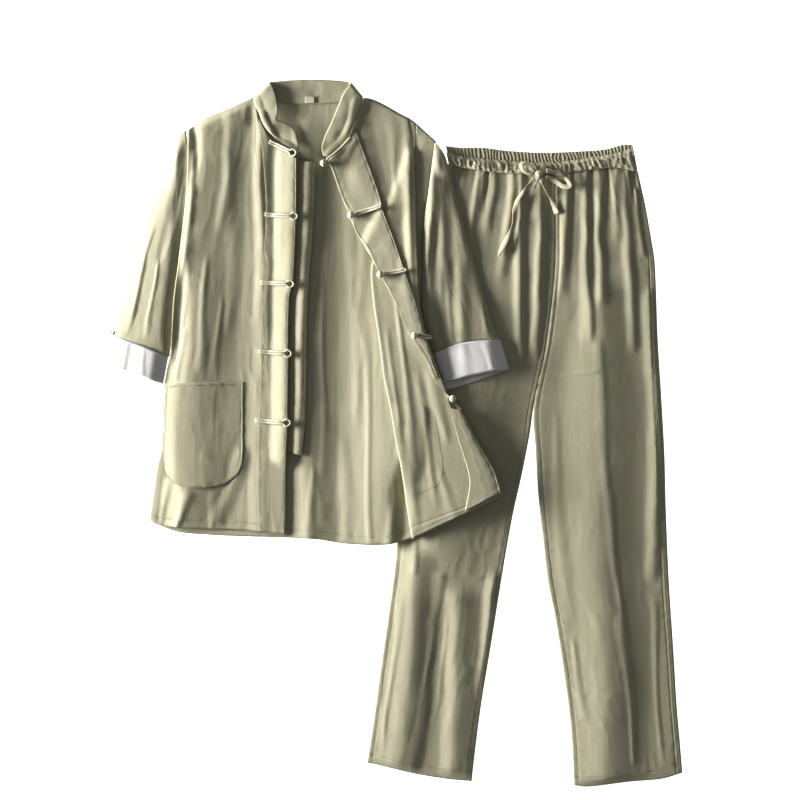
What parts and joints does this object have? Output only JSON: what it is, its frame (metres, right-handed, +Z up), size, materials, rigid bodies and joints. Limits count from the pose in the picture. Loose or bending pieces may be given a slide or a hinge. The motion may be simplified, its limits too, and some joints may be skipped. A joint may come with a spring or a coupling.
{
  "type": "tai chi uniform",
  "caption": "Two-piece tai chi uniform laid flat: stand-collar jacket with cord frog fastenings, its left front thrown open, over gathered drawstring trousers.",
  "frame": {"origin": "on the surface that the set lies on, below the middle of the whole layout", "axes": "+Z up from that surface; +Y from the hems to the collar and waistband, along the trousers; +X to the wearer's left, where the trousers lie"},
  "size_m": [0.9322, 1.1328, 0.0279],
  "materials": {
    "sage_cloth": "crinkled plain-weave cotton and linen, pale sage",
    "white_cotton": "white plain cotton of the turned-back cuffs",
    "frog_cord": "bias-bound cloth cord, pale sage",
    "drawstring_tape": "flat sewn tape of the same cloth",
    "blank_label": "plain woven tape, blank"
  },
  "bodies": {
    "root": {"collar": "sage_cloth", "cuff_left": "white_cotton", "cuff_right": "white_cotton", "cuff_tack": "frog_cord", "drawstring_end_left": "drawstring_tape", "drawstring_end_right": "drawstring_tape", "drawstring_knot": "drawstring_tape", "drawstring_loop_left": "drawstring_tape", "drawstring_loop_right": "drawstring_tape", "facing_left": "sage_cloth", "frog_ball_1": "frog_cord", "frog_ball_2": "frog_cord", "frog_ball_3": "frog_cord", "frog_ball_4": "frog_cord", "frog_ball_5": "frog_cord", "frog_loop_1": "frog_cord", "frog_loop_2": "frog_cord", "frog_loop_3": "frog_cord", "frog_loop_4": "frog_cord", "frog_loop_5": "frog_cord", "frog_tail_1": "frog_cord", "frog_tail_2": "frog_cord", "frog_tail_3": "frog_cord", "frog_tail_4": "frog_cord", "jacket_back": "sage_cloth", "jacket_front_left": "sage_cloth", "jacket_front_right": "sage_cloth", "neck_label": "blank_label", "placket_left": "sage_cloth", "placket_right": "sage_cloth", "pocket_left": "sage_cloth", "pocket_right": "sage_cloth", "sleeve_left": "sage_cloth", "sleeve_right": "sage_cloth", "trousers_back_left": "sage_cloth", "trousers_back_right": "sage_cloth", "trousers_front_left": "sage_cloth", "trousers_front_right": "sage_cloth", "underlap": "sage_cloth", "waistband_back": "sage_cloth", "waistband_front": "sage_cloth"}
  },
  "joints": []
}
